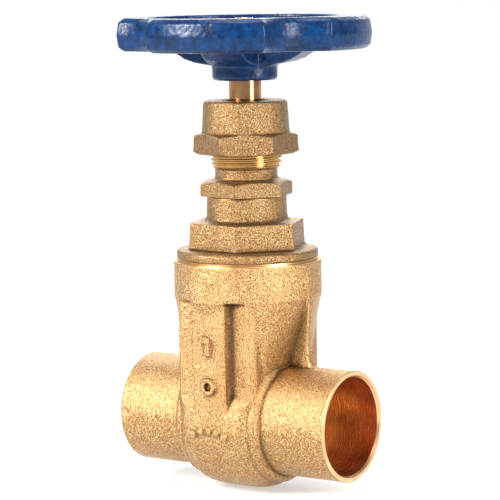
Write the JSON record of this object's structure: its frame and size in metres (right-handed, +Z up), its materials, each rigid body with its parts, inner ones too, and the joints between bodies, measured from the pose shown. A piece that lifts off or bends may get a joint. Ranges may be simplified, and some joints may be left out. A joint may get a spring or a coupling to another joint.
{
  "type": "gate valve",
  "caption": "Bronze gate valve with solder-cup ends, screw-in bonnet, non-rising stem and lobed handwheel; turning the wheel lifts a solid wedge.",
  "frame": {"origin": "where the pipe axis crosses the stem axis, at the centre of the waterway", "axes": "+X along the pipe out of the outlet cup, +Z up the stem to the handwheel, -Y out of the cast panel with the size numeral"},
  "size_m": [0.0744, 0.0744, 0.1383],
  "materials": {
    "cast_bronze": "sand-cast",
    "machined_brass": "machined",
    "stem_bronze": "polished",
    "wedge_bronze": "cast and machined",
    "blue_enamel": "gloss",
    "plate_aluminium": "satin",
    "nut_steel": "zinc plated",
    "packing": "braided graphite"
  },
  "bodies": {
    "valve_body": {"body": "cast_bronze", "bonnet": "cast_bronze", "stuffing_box": "cast_bronze", "packing_nut": "cast_bronze", "packing_gland": "machined_brass", "packing_ring_1": "packing", "packing_ring_2": "packing", "packing_ring_3": "packing", "packing_ring_4": "packing"},
    "stem_and_wheel": {"stem": "stem_bronze", "handwheel": "blue_enamel", "identification_plate": "plate_aluminium", "handwheel_nut": "nut_steel"},
    "wedge": {"wedge": "wedge_bronze"}
  },
  "joints": [
    {"name": "handwheel_turn", "type": "hinge", "parent": "valve_body", "child": "stem_and_wheel", "pos_m": [0, 0, 0.112], "axis": [0, 0, 1], "range_deg": [0, 3060]},
    {"name": "wedge_lift", "type": "slide", "parent": "valve_body", "child": "wedge", "axis": [0, 0, 1], "range_m": [0, 0.027]}
  ],
  "couplings": [
    {"joint": "wedge_lift", "follows": "handwheel_turn", "m_per_rad": 0.00050532}
  ]
}
